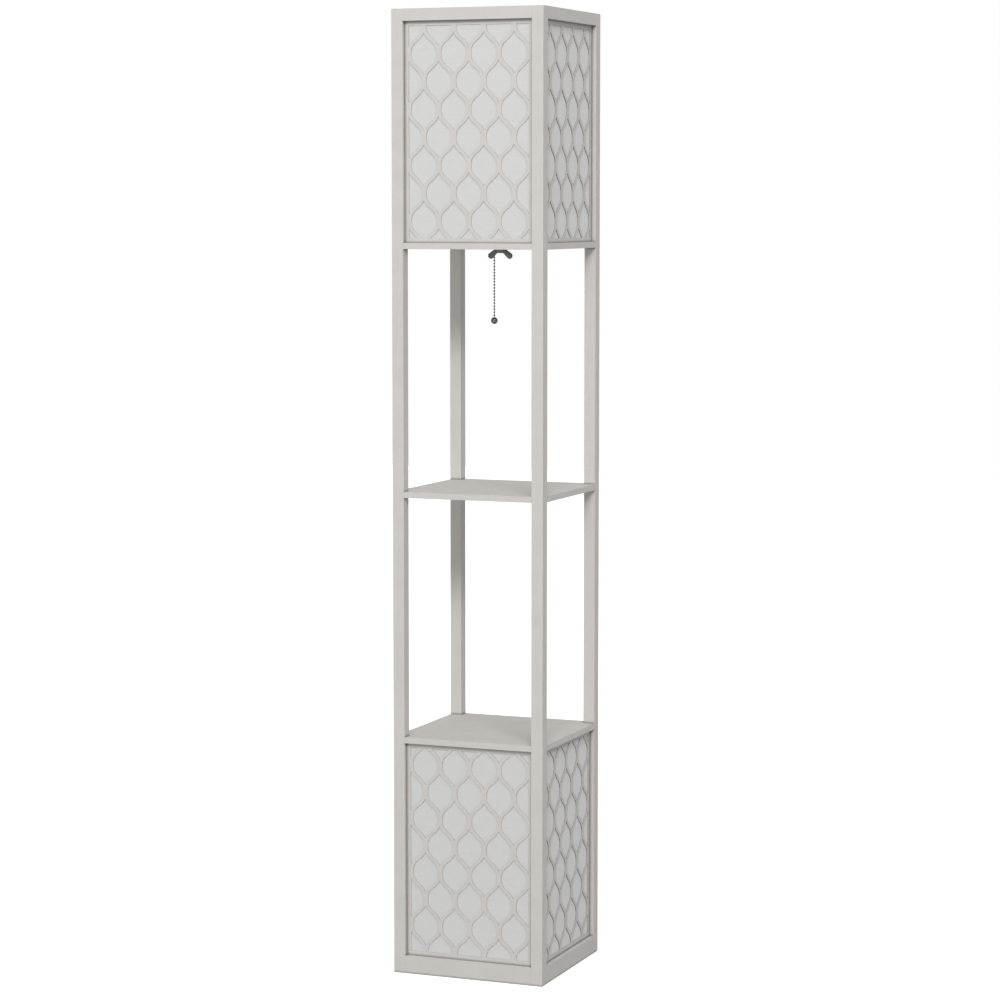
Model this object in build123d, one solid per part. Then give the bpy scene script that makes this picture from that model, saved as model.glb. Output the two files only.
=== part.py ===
from build123d import *
from math import cos, pi, sin
import os

# A square shelf floor lamp. Four posts run the full height. A panelled shade
# box is at the top, a like box is at the foot, and open shelf bays lie between.
# The origin is on the floor under the middle, +Z is up, the front looks to -Y.

# Round pieces are drawn with this many flats, so that the model stays light.
round_sides = 12
wing_sides = 8
bead_sides = 5
overcut = 1.0  # how far a cutter runs past what it cuts

# ---- Frame, millimetres ----
lamp_width = 266.0  # outside, the same both ways
post_side = 20.0
bottom_rail_height = 30.0
top_rail_height = 20.0
board_thickness = 10.0
box_height = 360.0  # clear height of each panelled box
bay_height = 400.0  # clear height of each open bay

# ---- Joinery ----
tenon_length = 6.0
tenon_thickness = 6.0
tenon_shoulder = 5.0
tenon_end_gap = 0.1
corner_tongue = 6.0  # how far a board's corner enters a post
corner_shoulder = 2.0  # step from the board's faces to the tongue's
base_tongue = 4.0  # how far the base board enters rails and posts
base_rise = 15.0  # floor to the underside of the base board

# ---- Shade panels: a cut-out lattice over a fabric-faced lining ----
panel_recess = 8.0  # post face to lattice face
lattice_thickness = 1.2
lining_thickness = 3.0
groove_depth = 4.0
panel_side_gap = 0.1
panel_end_gap = 0.3
panel_border = 7.5  # plain strip seen round the pattern
cell_columns = 4
row_step = 45.25  # height from one row of cells to the next
neck_width = 8.75  # strip between two cells of one row
cell_tip_height = 33.0  # cell centre to its drawn-in upper tip
cell_foot_depth = 31.6  # cell centre to its lower point
shoulder_height = 11.2  # centre to where the sides turn in
throat_height = 26.2  # centre to where the flanks steepen to the tip
throat_half_width = 5.4

# ---- Lampholder on the lamp board ----
stem_setback = 13.5  # stem behind the board's middle
stem_radius = 5.0
stem_bore_radius = 3.6
stem_hole_gap = 0.3
washer_radius = 10.5
washer_thickness = 1.2
nut_across_flats = 14.0
nut_height = 4.0
wing_hub_radius = 8.5
wing_hub_height = 7.4
stem_recess = 1.0  # stem end above the wing nut's lower face
wing_root_radius = 3.7
wing_root_offset = 8.0
wing_lobe_radius = 5.0
wing_lobe_offset = 16.8
wing_lobe_drop = 11.6
wing_thickness = 4.0
socket_radius = 17.0
socket_wall = 1.0
cap_height = 16.0
cap_collar_radius = 8.0
cap_collar_height = 5.0
shell_height = 38.0
core_height = 22.0
screw_shell_radius = 14.4
screw_shell_wall = 0.6
screw_shell_height = 24.0

# ---- Light bulb ----
bulb_base_radius = 13.2
bulb_base_height = 25.0
bulb_neck_radius = 14.0
bulb_radius = 30.0
bulb_glass_height = 80.0
# Shares of the bulb's radius: (radius, height above its widest ring)
bulb_profile = [(0.72, -0.85), (0.94, -0.35), (1, 0), (0.87, 0.5), (0.5, 0.87), (0.15, 1)]

# ---- Pull chain ----
chain_reach = 27.0  # stem axis to chain axis
chain_hole_radius = 4.0
guide_radius = 4.2
guide_flare_radius = 6.0
guide_bore_radius = 2.6
guide_height = 16.0
guide_flare_height = 4.0
guide_arm_side = 7.0
guide_arm_rise = 1.0  # above the shell's lower edge
guide_cap = 2.0  # closed top of the guide
toggle_height = 2.0  # plunger at the chain's upper end, inside the guide
toggle_gap = 0.15
bead_radius = 1.65
bead_half_length = 1.65
link_radius = 0.5
bead_pitch = 5.05
hanging_beads = 22
chain_joint_gap = 0.5
ball_radius = 5.75
# Shares of the ball's radius: (radius, height above its middle)
ball_profile = [(0.3, -0.95), (0.81, -0.59), (1, 0), (0.81, 0.59), (0.3, 1)]
ball_gap = 3.15  # top of the ball to the first bead's centre

# ---- Cord outlet ----
cord_bush_radius = 5.0
cord_bush_bore_radius = 3.5
cord_bush_flange = 2.5
cord_bush_flange_height = 1.5
cord_bush_inset = 12.0  # post to the middle of the outlet

# ---- Places worked out from the sizes ----
half_width = lamp_width / 2
opening = lamp_width - 2 * post_side
half_opening = opening / 2
lower_box_floor = bottom_rail_height
lower_shelf_floor = lower_box_floor + box_height
middle_shelf_floor = lower_shelf_floor + board_thickness + bay_height
lamp_board_floor = middle_shelf_floor + board_thickness + bay_height
lamp_board_top = lamp_board_floor + board_thickness
top_rail_floor = lamp_board_top + box_height
lamp_height = top_rail_floor + top_rail_height
panel_face = half_width - panel_recess
lining_face = panel_face - lattice_thickness
panel_back = lining_face - lining_thickness
cell_pitch = (opening - 2 * panel_border) / cell_columns
cell_half_width = (cell_pitch - neck_width) / 2
chain_y = stem_setback - chain_reach

side_names = ["front", "right", "back", "left"]
corner_names = ["front_right", "back_right", "back_left", "front_left"]
pieces = {}


# ---- Helpers ----
def block(x, y, z):
    """A box between two limits on each axis."""
    return Pos((x[0] + x[1]) / 2, (y[0] + y[1]) / 2, (z[0] + z[1]) / 2) * Box(
        x[1] - x[0], y[1] - y[0], z[1] - z[0]
    )


def ring_corners(radius, height, sides):
    """The corners of a regular polygon about Z."""
    turns = [2 * pi * corner / sides for corner in range(sides)]
    return [(radius * cos(turn), radius * sin(turn), height) for turn in turns]


def turned(rings, sides=round_sides):
    """A turned piece about Z, drawn with flats, through rings of (radius, height)."""
    outlines = [ring_corners(radius, height, sides) for radius, height in rings]
    flats = [outlines[0], outlines[-1]]
    for low, high in zip(outlines, outlines[1:]):
        for corner in range(sides):
            following = (corner + 1) % sides
            flats.append([low[corner], low[following], high[following], high[corner]])
    return Solid(Shell([Face(Wire.make_polygon(flat)) for flat in flats]))


def bore_cutter(radius, low, high):
    """A cutter for a round hole about Z that runs out at both ends."""
    return turned([(radius, low - overcut), (radius, high + overcut)])


def tube(outer, inner, low, high):
    """A straight sleeve about Z, drawn with flats."""
    return turned([(outer, low), (outer, high)]) - bore_cutter(inner, low, high)


def board_hole(x, y, radius):
    """A cutter for a round hole through the lamp board."""
    return Pos(x, y, 0) * bore_cutter(radius, lamp_board_floor, lamp_board_top)


def on_side(index):
    """Turns a piece modelled on the front to another side of the lamp."""
    return Rot(0, 0, 90 * index)


# ---- Posts ----
def panel_groove_in_post(floor):
    """Grooves for the two panels that meet at a front right post, in one box."""
    height = (floor - groove_depth, floor + box_height + groove_depth)
    across = (half_opening, half_opening + groove_depth)
    along = (panel_back, panel_face)
    left_face = block(across, (-along[1], -along[0]), height)
    rear_face = block(along, (-across[1], -across[0]), height)
    return left_face + rear_face


def mortises(floor, rail_height):
    """Mortises for the two rails that meet at a front right post."""
    height = (floor + tenon_shoulder, floor + rail_height - tenon_shoulder)
    across = (half_opening, half_opening + tenon_length + tenon_end_gap)
    middle = half_width - post_side / 2
    along = (middle - tenon_thickness / 2, middle + tenon_thickness / 2)
    left_face = block(across, (-along[1], -along[0]), height)
    rear_face = block(along, (-across[1], -across[0]), height)
    return left_face + rear_face


def corner_seat(floor, depth, shoulder):
    """The pocket in a front right post that carries a board's corner."""
    reach = half_opening + depth
    height = (floor + shoulder, floor + board_thickness - shoulder)
    return block((half_opening, reach), (-reach, -half_opening), height)


post = block((half_opening, half_width), (-half_width, -half_opening), (0, lamp_height))
for box_floor in (lower_box_floor, lamp_board_top):
    post -= panel_groove_in_post(box_floor)
post -= mortises(0, bottom_rail_height)
post -= mortises(top_rail_floor, top_rail_height)
for board_floor in (lower_shelf_floor, middle_shelf_floor, lamp_board_floor):
    post -= corner_seat(board_floor, corner_tongue, corner_shoulder)
post -= corner_seat(base_rise, base_tongue, 0)
for index, corner in enumerate(corner_names):
    pieces[corner + "_post"] = on_side(index) * post


# ---- Rails ----
def rail(floor, height):
    """A front rail with a tenon at each end."""
    body = block((-half_opening, half_opening), (-half_width, -half_opening), (floor, floor + height))
    reach = half_opening + tenon_length
    middle = -half_width + post_side / 2
    thickness = (middle - tenon_thickness / 2, middle + tenon_thickness / 2)
    tenons = block((-reach, reach), thickness, (floor + tenon_shoulder, floor + height - tenon_shoulder))
    return body + tenons


def front_groove(low, high):
    """A cutter for the groove that holds the front panel's end."""
    return block((-half_opening, half_opening), (-panel_face, -panel_back), (low, high))


bottom_rail = rail(0, bottom_rail_height)
bottom_rail -= front_groove(lower_box_floor - groove_depth, lower_box_floor)
bottom_rail -= block(
    (-half_opening, half_opening),
    (-half_opening - base_tongue, -half_opening),
    (base_rise, base_rise + board_thickness),
)
top_rail = rail(top_rail_floor, top_rail_height)
top_rail -= front_groove(top_rail_floor, top_rail_floor + groove_depth)
for index, side in enumerate(side_names):
    pieces[side + "_bottom_rail"] = on_side(index) * bottom_rail
    pieces[side + "_top_rail"] = on_side(index) * top_rail


# ---- Boards ----
def board(floor):
    """A square board let in round the posts, with a tongue at each inner corner."""
    ceiling = floor + board_thickness
    plate = block((-half_width, half_width), (-half_width, half_width), (floor, ceiling))
    for turn in range(4):
        corner = block((half_opening, half_width), (-half_width, -half_opening), (floor, ceiling))
        plate -= on_side(turn) * (corner - corner_seat(floor, corner_tongue, corner_shoulder))
    return plate


lower_shelf = board(lower_shelf_floor)
middle_shelf = board(middle_shelf_floor)
lamp_board = board(lamp_board_floor)
for index in range(4):
    lower_shelf -= on_side(index) * front_groove(lower_shelf_floor, lower_shelf_floor + groove_depth)
    lamp_board -= on_side(index) * front_groove(lamp_board_top - groove_depth, lamp_board_top)

cord_outlet = half_opening - cord_bush_inset
lamp_board -= board_hole(0, stem_setback, stem_radius + stem_hole_gap)
lamp_board -= board_hole(0, chain_y, chain_hole_radius)
lamp_board -= board_hole(-cord_outlet, cord_outlet, cord_bush_radius)
base_reach = half_opening + base_tongue
pieces["lower_shelf"] = lower_shelf
pieces["middle_shelf"] = middle_shelf
pieces["lamp_board"] = lamp_board
pieces["base_board"] = block(
    (-base_reach, base_reach), (-base_reach, base_reach), (base_rise, base_rise + board_thickness)
)

# ---- Shade panels ----
sheet_width = opening + 2 * (groove_depth - panel_side_gap)
sheet_height = box_height + 2 * groove_depth - panel_end_gap


def ogee_cell():
    """One cell of the lattice about its own middle, with a drawn-in upper tip."""
    flank = [
        (cell_half_width, -shoulder_height),
        (cell_half_width, shoulder_height),
        (throat_half_width, throat_height),
    ]
    other_flank = [(-x, y) for x, y in reversed(flank)]
    points = [(0, -cell_foot_depth)] + flank + [(0, cell_tip_height)] + other_flank
    return make_face(Polyline(*points, close=True))


def lattice_sheet(start):
    """The cut-out sheet lying flat. Its rows start at the lower (-1) or upper (1) edge."""
    clear_width = opening - 2 * panel_border
    clear_height = box_height - 2 * panel_border
    window = Rectangle(clear_width, clear_height)
    cell = ogee_cell()
    row_count = int((clear_height + cell_foot_depth) // row_step) + 1
    face = Rectangle(sheet_width, sheet_height)
    for row in range(row_count):
        y = start * (clear_height / 2 - row * row_step)
        shift = 0 if row % 2 == 0 else cell_pitch / 2
        copies = cell_columns + 1 if row % 2 == 0 else cell_columns
        for column in range(copies):
            x = column * cell_pitch + shift - clear_width / 2
            face -= window & (Pos(x, y) * cell)
    return extrude(face, lattice_thickness)


lining = extrude(Rectangle(sheet_width, sheet_height), lining_thickness)
for box, floor, start in (("lower", lower_box_floor, -1), ("upper", lamp_board_top, 1)):
    middle = floor - groove_depth + sheet_height / 2
    stand = Rot(90, 0, 0)
    lattice = lattice_sheet(start)
    for index, side in enumerate(side_names):
        name = side + "_" + box
        pieces[name + "_lattice"] = on_side(index) * Pos(0, -lining_face, middle) * stand * lattice
        pieces[name + "_lining"] = on_side(index) * Pos(0, -panel_back, middle) * stand * lining

# ---- Lampholder ----
stem_place = Pos(0, stem_setback, 0)
hub_top = lamp_board_floor - washer_thickness
hub_floor = hub_top - wing_hub_height
nut_floor = lamp_board_top + washer_thickness
cap_floor = nut_floor + nut_height
shell_floor = cap_floor + cap_height
shell_top = shell_floor + shell_height
core_floor = cap_floor + cap_collar_height
core_top = core_floor + core_height
core_radius = socket_radius - socket_wall

stem = tube(stem_radius, stem_bore_radius, hub_floor + stem_recess, core_floor)
lower_washer = tube(washer_radius, stem_radius, hub_top, lamp_board_floor)
upper_washer = tube(washer_radius, stem_radius, lamp_board_top, nut_floor)
nut_outline = RegularPolygon(nut_across_flats / 2, 6, major_radius=False)
stem_nut = Pos(0, 0, nut_floor) * extrude(nut_outline, nut_height)
stem_nut -= bore_cutter(stem_radius, nut_floor, cap_floor)


def wing(side):
    """One wing of the wing nut, as the hull of its root and its rounded lobe."""
    root = Pos(side * wing_root_offset, -wing_root_radius) * RegularPolygon(wing_root_radius, wing_sides)
    lobe = Pos(side * wing_lobe_offset, -wing_lobe_drop) * RegularPolygon(wing_lobe_radius, wing_sides)
    outline = make_hull(root.edges() + lobe.edges())
    return Pos(0, wing_thickness / 2, hub_top) * Rot(90, 0, 0) * extrude(outline, wing_thickness)


wing_nut = turned([(wing_hub_radius, hub_floor), (wing_hub_radius, hub_top)]) + wing(1) + wing(-1)
wing_nut -= bore_cutter(stem_radius, hub_floor, hub_top)

cap_rings = [
    (cap_collar_radius, cap_floor),
    (cap_collar_radius, cap_floor + cap_collar_height),
    (socket_radius, shell_floor - cap_collar_height),
    (socket_radius, shell_floor),
]
cap_hollow_rings = [
    (cap_collar_radius - socket_wall, core_floor),
    (core_radius, shell_floor - cap_collar_height + socket_wall),
    (core_radius, shell_floor + overcut),
]
socket_cap = turned(cap_rings) - turned(cap_hollow_rings)
socket_cap -= bore_cutter(stem_radius, cap_floor, core_floor)

guide_arm_low = shell_floor + guide_arm_rise
guide_top = guide_arm_low + guide_arm_side
guide_floor = guide_top - guide_height
arm_slot = block(
    (-guide_arm_side / 2, guide_arm_side / 2),
    (-socket_radius - overcut, 0),
    (guide_arm_low, guide_top),
)
socket_shell = tube(socket_radius, core_radius, shell_floor, shell_top) - arm_slot
core_rings = [
    (cap_collar_radius - socket_wall, core_floor),
    (core_radius, shell_floor - cap_collar_height + socket_wall),
    (core_radius, core_top),
]
socket_core = turned(core_rings)
screw_shell_bore = screw_shell_radius - screw_shell_wall
screw_shell = tube(screw_shell_radius, screw_shell_bore, core_top, core_top + screw_shell_height)

guide_rings = [
    (guide_flare_radius, guide_floor),
    (guide_radius, guide_floor + guide_flare_height),
    (guide_radius, guide_top),
]
guide_arm = block(
    (-guide_arm_side / 2, guide_arm_side / 2),
    (-chain_reach, cap_collar_radius - core_radius),
    (guide_arm_low, guide_top),
)
bore_top = guide_top - guide_cap
guide_bore = turned([(guide_bore_radius, guide_floor - overcut), (guide_bore_radius, bore_top)])
chain_guide = Pos(0, -chain_reach, 0) * turned(guide_rings) + guide_arm - socket_core
chain_guide -= Pos(0, -chain_reach, 0) * guide_bore

pieces["stem"] = stem_place * stem
pieces["stem_washers"] = stem_place * Compound([lower_washer, upper_washer])
pieces["stem_nut"] = stem_place * stem_nut
pieces["wing_nut"] = stem_place * wing_nut
pieces["socket_cap"] = stem_place * socket_cap
pieces["socket_shell"] = stem_place * socket_shell
pieces["socket_core"] = stem_place * socket_core
pieces["screw_shell"] = stem_place * screw_shell
pieces["chain_guide"] = stem_place * chain_guide

# ---- Light bulb ----
glass_floor = core_top + bulb_base_height
bulb_base = turned([(bulb_base_radius, core_top), (bulb_base_radius, glass_floor)])
glass_middle = glass_floor + bulb_glass_height - bulb_radius
glass_rings = [(bulb_neck_radius, glass_floor)]
for width, height in bulb_profile:
    glass_rings += [(bulb_radius * width, glass_middle + bulb_radius * height)]
pieces["bulb_base"] = stem_place * bulb_base
pieces["bulb_glass"] = stem_place * turned(glass_rings)


# ---- Pull chain ----
def bead_rings(middle):
    """The rings of one bead and the start of the link above it."""
    return [
        (link_radius, middle - bead_half_length),
        (bead_radius, middle),
        (link_radius, middle + bead_half_length),
    ]


swing_height = lamp_board_floor
chain_place = Pos(0, chain_y, 0)
first_bead = swing_height - hanging_beads * bead_pitch
ball_middle = first_bead - ball_gap - ball_radius
toggle_radius = guide_bore_radius - toggle_gap
toggle_floor = bore_top - toggle_height
inside_beads = int((toggle_floor - swing_height) // bead_pitch)
inside_rings = []
for count in range(inside_beads):
    inside_rings += bead_rings(swing_height + count * bead_pitch)
inside_rings += [(toggle_radius, toggle_floor), (toggle_radius, bore_top)]
hanging_rings = [(link_radius, ball_middle + ball_radius)]
for count in range(hanging_beads):
    hanging_rings += bead_rings(first_bead + count * bead_pitch)
hanging_rings += [(link_radius, swing_height - bead_half_length - chain_joint_gap)]
ball_rings = []
for width, height in ball_profile:
    ball_rings += [(ball_radius * width, ball_middle + ball_radius * height)]
pieces["chain_inside"] = chain_place * turned(inside_rings, bead_sides)
pieces["chain_hanging"] = chain_place * turned(hanging_rings, bead_sides)
pieces["chain_ball"] = chain_place * turned(ball_rings)

# ---- Cord outlet ----
bush_top = lamp_board_top + cord_bush_flange_height
bush = tube(cord_bush_radius, cord_bush_bore_radius, lamp_board_floor, lamp_board_top)
bush += tube(cord_bush_radius + cord_bush_flange, cord_bush_bore_radius, lamp_board_top, bush_top)
pieces["cord_bush"] = Pos(-cord_outlet, cord_outlet, 0) * bush

# ---- One file for each piece ----
os.makedirs("parts", exist_ok=True)
for name, piece in pieces.items():
    piece.label = name
    export_step(piece, os.path.join("parts", name + ".step"))
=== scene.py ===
"""A square shelf floor lamp with latticed boxes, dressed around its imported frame."""

import math

import bmesh
import bpy
from mathutils import Matrix, Vector


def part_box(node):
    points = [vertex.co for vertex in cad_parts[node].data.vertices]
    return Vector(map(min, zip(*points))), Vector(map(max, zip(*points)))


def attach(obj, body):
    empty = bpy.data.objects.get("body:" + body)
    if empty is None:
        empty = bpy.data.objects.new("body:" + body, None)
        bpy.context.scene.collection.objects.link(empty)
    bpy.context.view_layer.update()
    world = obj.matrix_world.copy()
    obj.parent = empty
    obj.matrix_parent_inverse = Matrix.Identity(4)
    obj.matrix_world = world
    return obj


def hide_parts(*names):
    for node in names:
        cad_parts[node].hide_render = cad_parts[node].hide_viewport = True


bl_info = {
    "name": "Shelf floor lamp",
    "version": (1, 0, 0),
    "blender": (4, 5, 0),
    "location": "View3D > Sidebar > Shelf lamp",
    "description": "Builds the looks of a shelf floor lamp around its packed frame",
    "category": "Object",
}

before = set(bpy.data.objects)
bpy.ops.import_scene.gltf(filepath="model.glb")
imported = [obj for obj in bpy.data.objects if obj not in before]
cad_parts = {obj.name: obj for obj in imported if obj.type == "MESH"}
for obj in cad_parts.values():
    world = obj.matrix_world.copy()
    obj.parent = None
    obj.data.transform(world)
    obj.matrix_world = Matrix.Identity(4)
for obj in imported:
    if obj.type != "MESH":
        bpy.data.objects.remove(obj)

SIDES = ("front", "right", "back", "left")
CORNERS = ("front_right", "back_right", "back_left", "front_left")
MM = 0.001

# Bends sharper than these stay crisp, in degrees: on flat sawn or cut pieces, and on turned ones.
CRISP_ON_FLAT = 12
CRISP_ON_TURNED = 32

# The photograph's viewpoint: metres, degrees round from the front, and the lens in millimetres.
CAMERA_DISTANCE = 5.1682
CAMERA_HEIGHT = 1.2911
CAMERA_ROUND = 21.9
CAMERA_YAW = 21.85
CAMERA_PITCH = 5.55
CAMERA_LENS = 111.41
SENSOR_WIDTH = 36.0
CAMERA_REACH = 60.0

# Each lamp's name, place, aim, size across and up, and power in watts.
LAMPS = (
    ("key", (3.76, -7.38, 6.3), (0, 0, 1.0), (5.5, 1.8), 572.0),
    ("low_fill", (-3.49, -6.05, 1.39), (0, 0, 0.9), (4.0, 4.0), 60.0),
)
SURROUND_LIGHT = 0.42  # how strongly the white surround lights the lamp
SURROUND_SHOWN = 1.0

FLOOR_HALF = 9.0
FLOOR_BOUNCE = 0.45  # what the floor throws back on the lamp
FLOOR_SHOWN = 0.6  # what the camera sees of it, so that the shadow shows
FLOOR_LIFT = (0.74, 1.0)  # added white, near the lamp and far from it
FLOOR_LIFT_REACH = (0.5, 1.6)  # where that change starts and ends, in metres

# Half width of one lattice cell at each height from its middle, in millimetres.
OGEE_FLANK = (
    (22.0, 0.0),
    (21.9, 3.5),
    (21.2, 7.5),
    (19.4, 11.8),
    (16.2, 15.9),
    (12.2, 19.5),
    (8.6, 22.5),
    (5.6, 25.4),
    (3.0, 28.6),
    (1.2, 31.2),
    (0.0, 33.4),
)


def as_linear(red, green, blue):
    """A colour given as 0 to 255 on a screen, as the linear values of a shader."""
    shares = [level / 255 for level in (red, green, blue)]
    return tuple(s / 12.92 if s <= 0.04045 else ((s + 0.055) / 1.055) ** 2.4 for s in shares)


def length(name, description, millimetres):
    """A length setting that a user may change."""
    return bpy.props.FloatProperty(
        name=name,
        description=description,
        default=millimetres * MM,
        min=0.0,
        precision=5,
        subtype="DISTANCE",
        unit="LENGTH",
    )


def colour(name, description, red, green, blue):
    """A colour setting that a user may change."""
    return bpy.props.FloatVectorProperty(
        name=name,
        description=description,
        default=as_linear(red, green, blue),
        min=0.0,
        max=1.0,
        size=3,
        subtype="COLOR",
    )


class ShelfLampSizes(bpy.types.PropertyGroup):
    """Sizes of the details that the frame leaves to the looks."""

    edge_easing: length("Edge easing", "Rounding of the frame's sawn edges", 0.3)
    lattice_easing: length("Lattice easing", "Rounding of the lattice's cut edges", 0.15)
    panel_border: length("Panel border", "Plain strip round the lattice pattern", 7.5)
    row_step: length("Row step", "Height from one row of cells to the next", 45.25)
    side_groove: length("Side groove", "Depth to which a panel enters the posts", 3.9)
    end_groove: length("End groove", "Depth to which a panel enters the rails", 4.0)
    bead_radius: length("Bead radius", "Radius of one bead of the pull chain", 1.65)
    link_radius: length("Link radius", "Radius of the wire between two beads", 0.5)
    bead_pitch: length("Bead pitch", "Distance from one bead to the next", 5.05)
    cell_columns: bpy.props.IntProperty(
        name="Cell columns", description="Lattice cells across one panel", default=4, min=1
    )


class ShelfLampColours(bpy.types.PropertyGroup):
    """Colours of the finishes."""

    paint: colour("Paint", "Painted wood of the frame", 211, 208, 203)
    lattice: colour("Lattice", "Painted lattice of the panels", 211, 208, 204)
    # Painted shade on the lattice's downward-facing cut walls.
    cut_edge_shade: colour("Cut edge shade", "Downward lattice edges, darker as painted shade", 150, 147, 143)
    lining: colour("Lining", "Woven facing behind the lattice", 217, 217, 216)
    dark_metal: colour("Dark metal", "Wing nut and washers", 92, 95, 90)
    chain: colour("Chain", "Beads and ball of the pull chain", 90, 91, 88)
    steel: colour("Steel", "Threaded stem", 150, 150, 148)
    brass: colour("Brass", "Socket of the lampholder", 190, 160, 98)
    core: colour("Core", "Moulded inside of the socket", 42, 40, 38)
    tin: colour("Tin", "Screw shell and bulb base", 188, 186, 180)
    glass: colour("Glass", "Frosted glass of the bulb", 240, 239, 233)
    bush: colour("Bush", "Moulded outlet bush", 205, 202, 197)


# ---- Meshes ----
def finished(mesh_maker, name, sharp_degrees=CRISP_ON_TURNED):
    """Turns a bmesh into a smooth mesh that keeps its crisp edges."""
    bmesh.ops.recalc_face_normals(mesh_maker, faces=mesh_maker.faces)
    mesh = bpy.data.meshes.new(name)
    mesh_maker.to_mesh(mesh)
    mesh_maker.free()
    mesh.shade_smooth()
    mesh.set_sharp_from_angle(angle=math.radians(sharp_degrees))
    return mesh


def softened(profile, ease, closed=False):
    """A profile whose corners are rounded to about the given size."""
    points = [Vector(p) for p in profile]
    rounded = []
    for place, corner in enumerate(points):
        if not closed and place in (0, len(points) - 1):
            rounded.append(corner)
            continue
        before = points[place - 1] - corner
        after = points[(place + 1) % len(points)] - corner
        reach = min(ease, before.length * 0.45, after.length * 0.45)
        start = corner + before.normalized() * reach
        end = corner + after.normalized() * reach
        rounded += [start, (start + 2 * corner + end) / 4, end]
    return [tuple(p) for p in rounded]


def turned(name, profile, steps=40, closed=False, place=(0, 0)):
    """A mesh of revolution about an upright axis, from (radius, height) pairs."""
    maker = bmesh.new()
    add_turned(maker, profile, steps, closed, place)
    return finished(maker, name)


def add_turned(maker, profile, steps, closed, place):
    """Adds a surface of revolution to a bmesh."""
    turns = [2 * math.pi * step / steps for step in range(steps)]
    rings = []
    for radius, height in profile:
        if radius < 1e-7:
            rings.append([maker.verts.new((place[0], place[1], height))])
            continue
        rings.append(
            [
                maker.verts.new(
                    (place[0] + radius * math.cos(a), place[1] + radius * math.sin(a), height)
                )
                for a in turns
            ]
        )
    pairs = list(zip(rings, rings[1:]))
    if closed:
        pairs.append((rings[-1], rings[0]))
    for low, high in pairs:
        for step in range(steps):
            following = (step + 1) % steps
            corners = [
                low[step % len(low)],
                low[following % len(low)],
                high[following % len(high)],
                high[step % len(high)],
            ]
            corners = list(dict.fromkeys(corners))
            if len(corners) > 2:
                maker.faces.new(corners)


def eased_bar(name, low, high, ease, round_ends):
    """A sawn bar between two corners, its long edges eased, and its ends too if asked."""
    maker = bmesh.new()
    size = Vector(high) - Vector(low)
    middle = (Vector(high) + Vector(low)) / 2
    place = Matrix.Translation(middle) @ Matrix.Diagonal((*size, 1))
    bmesh.ops.create_cube(maker, size=1, matrix=place)
    long_axis = max(range(3), key=lambda axis: size[axis])
    edges = []
    for edge in maker.edges:
        run = edge.verts[1].co - edge.verts[0].co
        if round_ends or abs(run[long_axis]) > size[long_axis] / 2:
            edges.append(edge)
    bmesh.ops.bevel(maker, geom=edges, offset=ease, segments=3, profile=0.5, affect="EDGES")
    return finished(maker, name, CRISP_ON_FLAT)


def eased_board(name, low, high, notch, ease):
    """A square board notched round the posts, with its open edges eased."""
    maker = bmesh.new()
    reach = high.x
    inner = reach - notch
    quarter = [(inner, -reach), (inner, -inner), (reach, -inner)]
    outline = []
    for turn in range(4):
        spin = Matrix.Rotation(math.pi / 2 * turn, 2)
        outline += [spin @ Vector(corner) for corner in quarter]
    base = maker.faces.new([maker.verts.new((p.x, p.y, low.z)) for p in outline])
    grown = bmesh.ops.extrude_face_region(maker, geom=[base])
    lifted = [part for part in grown["geom"] if isinstance(part, bmesh.types.BMVert)]
    bmesh.ops.translate(maker, verts=lifted, vec=(0, 0, high.z - low.z))
    open_edges = []
    for edge in maker.edges:
        ends = [vertex.co for vertex in edge.verts]
        on_rim = [all(abs(abs(p[axis]) - reach) < MM / 10 for p in ends) for axis in (0, 1)]
        if any(on_rim) and abs(ends[0].z - ends[1].z) < MM / 10:
            open_edges.append(edge)
    bmesh.ops.bevel(maker, geom=open_edges, offset=ease, segments=3, profile=0.5, affect="EDGES")
    return finished(maker, name, CRISP_ON_FLAT)


def smooth_flank():
    """The right upper flank of a cell, from its widest point to its tip, as a smooth run."""
    knots = [Vector((x, -y)) for x, y in OGEE_FLANK[1:2]] + [Vector(p) for p in OGEE_FLANK]
    knots.append(knots[-1] * 2 - knots[-2])
    run = []
    for before, start, end, after in zip(knots, knots[1:], knots[2:], knots[3:]):
        for share in (0, 0.5):
            run.append(
                0.5
                * (
                    2 * start
                    + (end - before) * share
                    + (2 * before - 5 * start + 4 * end - after) * share**2
                    + (3 * start - before - 3 * end + after) * share**3
                )
            )
    return run + [knots[-2]]


def cell_outline():
    """One closed cell outline about its own middle, in metres."""
    flank = [p * MM for p in smooth_flank()]
    upper_right = flank
    upper_left = [Vector((-p.x, p.y)) for p in reversed(flank[:-1])]
    lower_left = [Vector((-p.x, -p.y)) for p in flank[1:]]
    lower_right = [Vector((p.x, -p.y)) for p in reversed(flank[1:-1])]
    return upper_right + upper_left + lower_left + lower_right


def clipped(outline, axis, limit, sign):
    """The part of an outline on one side of an upright or level line."""
    kept = []
    for place, point in enumerate(outline):
        before = outline[place - 1]
        inside = sign * (point[axis] - limit) <= 0
        was_inside = sign * (before[axis] - limit) <= 0
        if inside != was_inside:
            share = (limit - before[axis]) / (point[axis] - before[axis])
            kept.append(before.lerp(point, share))
        if inside:
            kept.append(point)
    return kept


def without_repeats(outline):
    """The outline with points that fall together taken out."""
    return [p for place, p in enumerate(outline) if (p - outline[place - 1]).length > MM / 100]


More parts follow.
